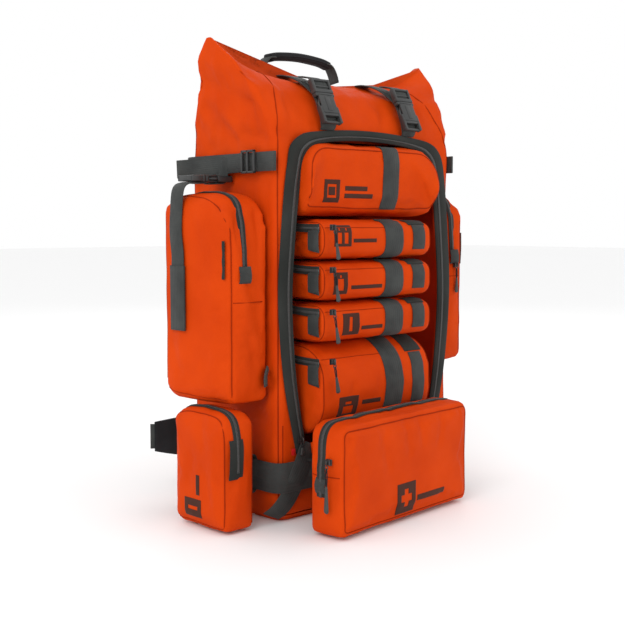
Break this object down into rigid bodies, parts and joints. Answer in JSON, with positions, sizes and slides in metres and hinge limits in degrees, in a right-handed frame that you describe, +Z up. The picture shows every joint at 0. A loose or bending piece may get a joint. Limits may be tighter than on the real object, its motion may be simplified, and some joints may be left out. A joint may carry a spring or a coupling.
{
  "type": "trauma backpack",
  "caption": "Roll-top emergency backpack with a clamshell front that opens on stacked zipped pouches, side pockets, belt pouches and a padded harness.",
  "frame": {"origin": "centre of the flat base", "axes": "+Z up the pack, -Y out of the opened front, +X to the right seen from the front, +Y towards the wearer"},
  "size_m": [0.5167, 0.3768, 0.642],
  "materials": {
    "orange_nylon": "woven coated nylon",
    "grey_webbing": "ribbed webbing",
    "zip_tape": "matte zip tape",
    "black_acetal": "moulded satin",
    "zip_metal": "black oxide",
    "zip_pull": "matte moulded cord pull",
    "spacer_mesh": "3-D mesh",
    "padded_black_nylon": "padded woven nylon",
    "stiffener_plastic": "sheet"
  },
  "bodies": {
    "root": {"main_bag": "orange_nylon", "front_zip_tape": "zip_tape", "rolled_front_panel": "orange_nylon", "roll_top_straps": "grey_webbing", "roll_buckle_sockets": "black_acetal", "cook_pouch": "orange_nylon", "cook_pouch_trim": "grey_webbing", "pocket_buckle_sockets": "black_acetal", "compression_straps": "grey_webbing", "waist_belt": "grey_webbing", "belt_buckle_socket": "black_acetal", "base_straps": "grey_webbing", "back_pads": "spacer_mesh", "hip_fins": "padded_black_nylon", "frame_sheet": "stiffener_plastic", "lower_strap_webbing": "grey_webbing"},
    "carry_handle": {"carry_handle": "padded_black_nylon"},
    "roll_plug_left": {"roll_buckle_plug_left": "black_acetal"},
    "roll_plug_right": {"roll_buckle_plug_right": "black_acetal"},
    "extra_storage_pouch": {"extra_storage_pouch": "orange_nylon", "extra_storage_pouch_trim": "grey_webbing"},
    "hygiene_pouch": {"hygiene_pouch": "orange_nylon", "hygiene_pouch_trim": "grey_webbing"},
    "electronics_pouch": {"electronics_pouch": "orange_nylon", "electronics_pouch_trim": "grey_webbing"},
    "tools_pouch": {"tools_pouch": "orange_nylon", "tools_pouch_trim": "grey_webbing"},
    "tools_pouch_slider": {"tools_pouch_slider": "zip_metal"},
    "tools_pouch_pull": {"tools_pouch_pull": "zip_pull"},
    "electronics_pouch_slider": {"electronics_pouch_slider": "zip_metal"},
    "electronics_pouch_pull": {"electronics_pouch_pull": "zip_pull"},
    "hygiene_pouch_slider": {"hygiene_pouch_slider": "zip_metal"},
    "hygiene_pouch_pull": {"hygiene_pouch_pull": "zip_pull"},
    "cook_pouch_slider": {"cook_pouch_slider": "zip_metal"},
    "cook_pouch_pull": {"cook_pouch_pull": "zip_pull"},
    "front_zip_slider": {"front_zip_slider": "zip_metal"},
    "left_pocket": {"left_pocket": "orange_nylon", "left_pocket_webbing": "grey_webbing", "pocket_buckle_plug_left": "black_acetal"},
    "right_pocket": {"right_pocket": "orange_nylon", "right_pocket_webbing": "grey_webbing", "pocket_buckle_plug_right": "black_acetal"},
    "left_pocket_slider": {"left_pocket_slider": "zip_metal"},
    "right_pocket_slider": {"right_pocket_slider": "zip_metal"},
    "belt_pouch": {"belt_pouch": "orange_nylon", "belt_pouch_trim": "grey_webbing"},
    "belt_pouch_slider": {"belt_pouch_slider": "zip_metal"},
    "first_aid_pouch": {"first_aid_pouch": "orange_nylon", "first_aid_pouch_trim": "grey_webbing"},
    "first_aid_pouch_slider": {"first_aid_pouch_slider": "zip_metal"},
    "first_aid_pouch_pull": {"first_aid_pouch_pull": "zip_pull"},
    "belt_buckle_plug": {"belt_buckle_plug": "black_acetal"},
    "triglide_left": {"triglide_left": "black_acetal"},
    "triglide_right": {"triglide_right": "black_acetal"},
    "harness": {"shoulder_strap_left": "padded_black_nylon", "shoulder_strap_right": "padded_black_nylon", "strap_adjusters": "black_acetal", "sternum_strap": "grey_webbing", "sternum_buckle_socket": "black_acetal"},
    "sternum_plug": {"sternum_buckle_plug": "black_acetal"}
  },
  "joints": [
    {"name": "carry_handle_swing", "type": "hinge", "parent": "root", "child": "carry_handle", "pos_m": [0, 0.056, 0.61], "axis": [1, 0, 0], "range_deg": [-80, 15]},
    {"name": "roll_buckle_release_left", "type": "slide", "parent": "root", "child": "roll_plug_left", "axis": [0, 0.4327, 0.9015], "range_m": [0, 0.02]},
    {"name": "roll_buckle_release_right", "type": "slide", "parent": "root", "child": "roll_plug_right", "axis": [0, 0.4327, 0.9015], "range_m": [0, 0.02]},
    {"name": "extra_storage_pouch_pull_out", "type": "slide", "parent": "root", "child": "extra_storage_pouch", "axis": [0, -1, 0], "range_m": [0, 0.15]},
    {"name": "hygiene_pouch_pull_out", "type": "slide", "parent": "root", "child": "hygiene_pouch", "axis": [0, -1, 0], "range_m": [0, 0.15]},
    {"name": "electronics_pouch_pull_out", "type": "slide", "parent": "root", "child": "electronics_pouch", "axis": [0, -1, 0], "range_m": [0, 0.15]},
    {"name": "tools_pouch_pull_out", "type": "slide", "parent": "root", "child": "tools_pouch", "axis": [0, -1, 0], "range_m": [0, 0.15]},
    {"name": "tools_pouch_zip", "type": "slide", "parent": "tools_pouch", "child": "tools_pouch_slider", "axis": [1, 0, 0], "range_m": [0, 0.098]},
    {"name": "tools_pouch_pull_swing", "type": "hinge", "parent": "tools_pouch_slider", "child": "tools_pouch_pull", "pos_m": [-0.106, -0.1324, 0.273], "axis": [-1, 0, 0], "range_deg": [0, 100]},
    {"name": "electronics_pouch_zip", "type": "slide", "parent": "electronics_pouch", "child": "electronics_pouch_slider", "axis": [1, 0, 0], "range_m": [0, 0.098]},
    {"name": "electronics_pouch_pull_swing", "type": "hinge", "parent": "electronics_pouch_slider", "child": "electronics_pouch_pull", "pos_m": [-0.106, -0.1324, 0.328], "axis": [-1, 0, 0], "range_deg": [0, 100]},
    {"name": "hygiene_pouch_zip", "type": "slide", "parent": "hygiene_pouch", "child": "hygiene_pouch_slider", "axis": [1, 0, 0], "range_m": [0, 0.098]},
    {"name": "hygiene_pouch_pull_swing", "type": "hinge", "parent": "hygiene_pouch_slider", "child": "hygiene_pouch_pull", "pos_m": [-0.106, -0.1324, 0.383], "axis": [-1, 0, 0], "range_deg": [0, 100]},
    {"name": "cook_pouch_zip", "type": "slide", "parent": "root", "child": "cook_pouch_slider", "axis": [1, 0, 0], "range_m": [0, 0.098]},
    {"name": "cook_pouch_pull_swing", "type": "hinge", "parent": "cook_pouch_slider", "child": "cook_pouch_pull", "pos_m": [-0.106, -0.1324, 0.208], "axis": [-1, 0, 0], "range_deg": [0, 100]},
    {"name": "front_zip", "type": "slide", "parent": "root", "child": "front_zip_slider", "axis": [-0.124, 0, 0.9923], "range_m": [0, 0.17]},
    {"name": "left_pocket_take_off", "type": "slide", "parent": "root", "child": "left_pocket", "axis": [-1, 0, 0], "range_m": [0, 0.12]},
    {"name": "right_pocket_take_off", "type": "slide", "parent": "root", "child": "right_pocket", "axis": [1, 0, 0], "range_m": [0, 0.12]},
    {"name": "left_pocket_zip", "type": "slide", "parent": "left_pocket", "child": "left_pocket_slider", "axis": [0, 0, 1], "range_m": [-0.03, 0.05]},
    {"name": "right_pocket_zip", "type": "slide", "parent": "right_pocket", "child": "right_pocket_slider", "axis": [0, 0, 1], "range_m": [0, 0.08]},
    {"name": "belt_pouch_slide", "type": "slide", "parent": "root", "child": "belt_pouch", "axis": [0, 1, 0], "range_m": [0, 0.05]},
    {"name": "belt_pouch_zip", "type": "slide", "parent": "belt_pouch", "child": "belt_pouch_slider", "axis": [0, 0, 1], "range_m": [-0.03, 0.03]},
    {"name": "first_aid_pouch_slide", "type": "slide", "parent": "root", "child": "first_aid_pouch", "axis": [1, 0, 0], "range_m": [-0.02, 0.02]},
    {"name": "first_aid_pouch_zip", "type": "slide", "parent": "first_aid_pouch", "child": "first_aid_pouch_slider", "axis": [0, 0, 1], "range_m": [0, 0.02]},
    {"name": "first_aid_pouch_pull_swing", "type": "hinge", "parent": "first_aid_pouch_slider", "child": "first_aid_pouch_pull", "pos_m": [-0.17764, -0.19088, 0.095], "axis": [-0.0958, 0.9954, 0], "range_deg": [0, 100]},
    {"name": "belt_buckle_release", "type": "slide", "parent": "root", "child": "belt_buckle_plug", "axis": [0, 1, 0], "range_m": [0, 0.022]},
    {"name": "triglide_slide_left", "type": "slide", "parent": "root", "child": "triglide_left", "axis": [0, 1, 0], "range_m": [-0.025, 0.03]},
    {"name": "triglide_slide_right", "type": "slide", "parent": "root", "child": "triglide_right", "axis": [0, 1, 0], "range_m": [-0.025, 0.03]},
    {"name": "harness_swing", "type": "hinge", "parent": "root", "child": "harness", "pos_m": [0, 0.098, 0.462], "axis": [1, 0, 0], "range_deg": [0, 35]},
    {"name": "sternum_buckle_release", "type": "slide", "parent": "harness", "child": "sternum_plug", "axis": [1, 0, 0], "range_m": [0, 0.02]}
  ]
}
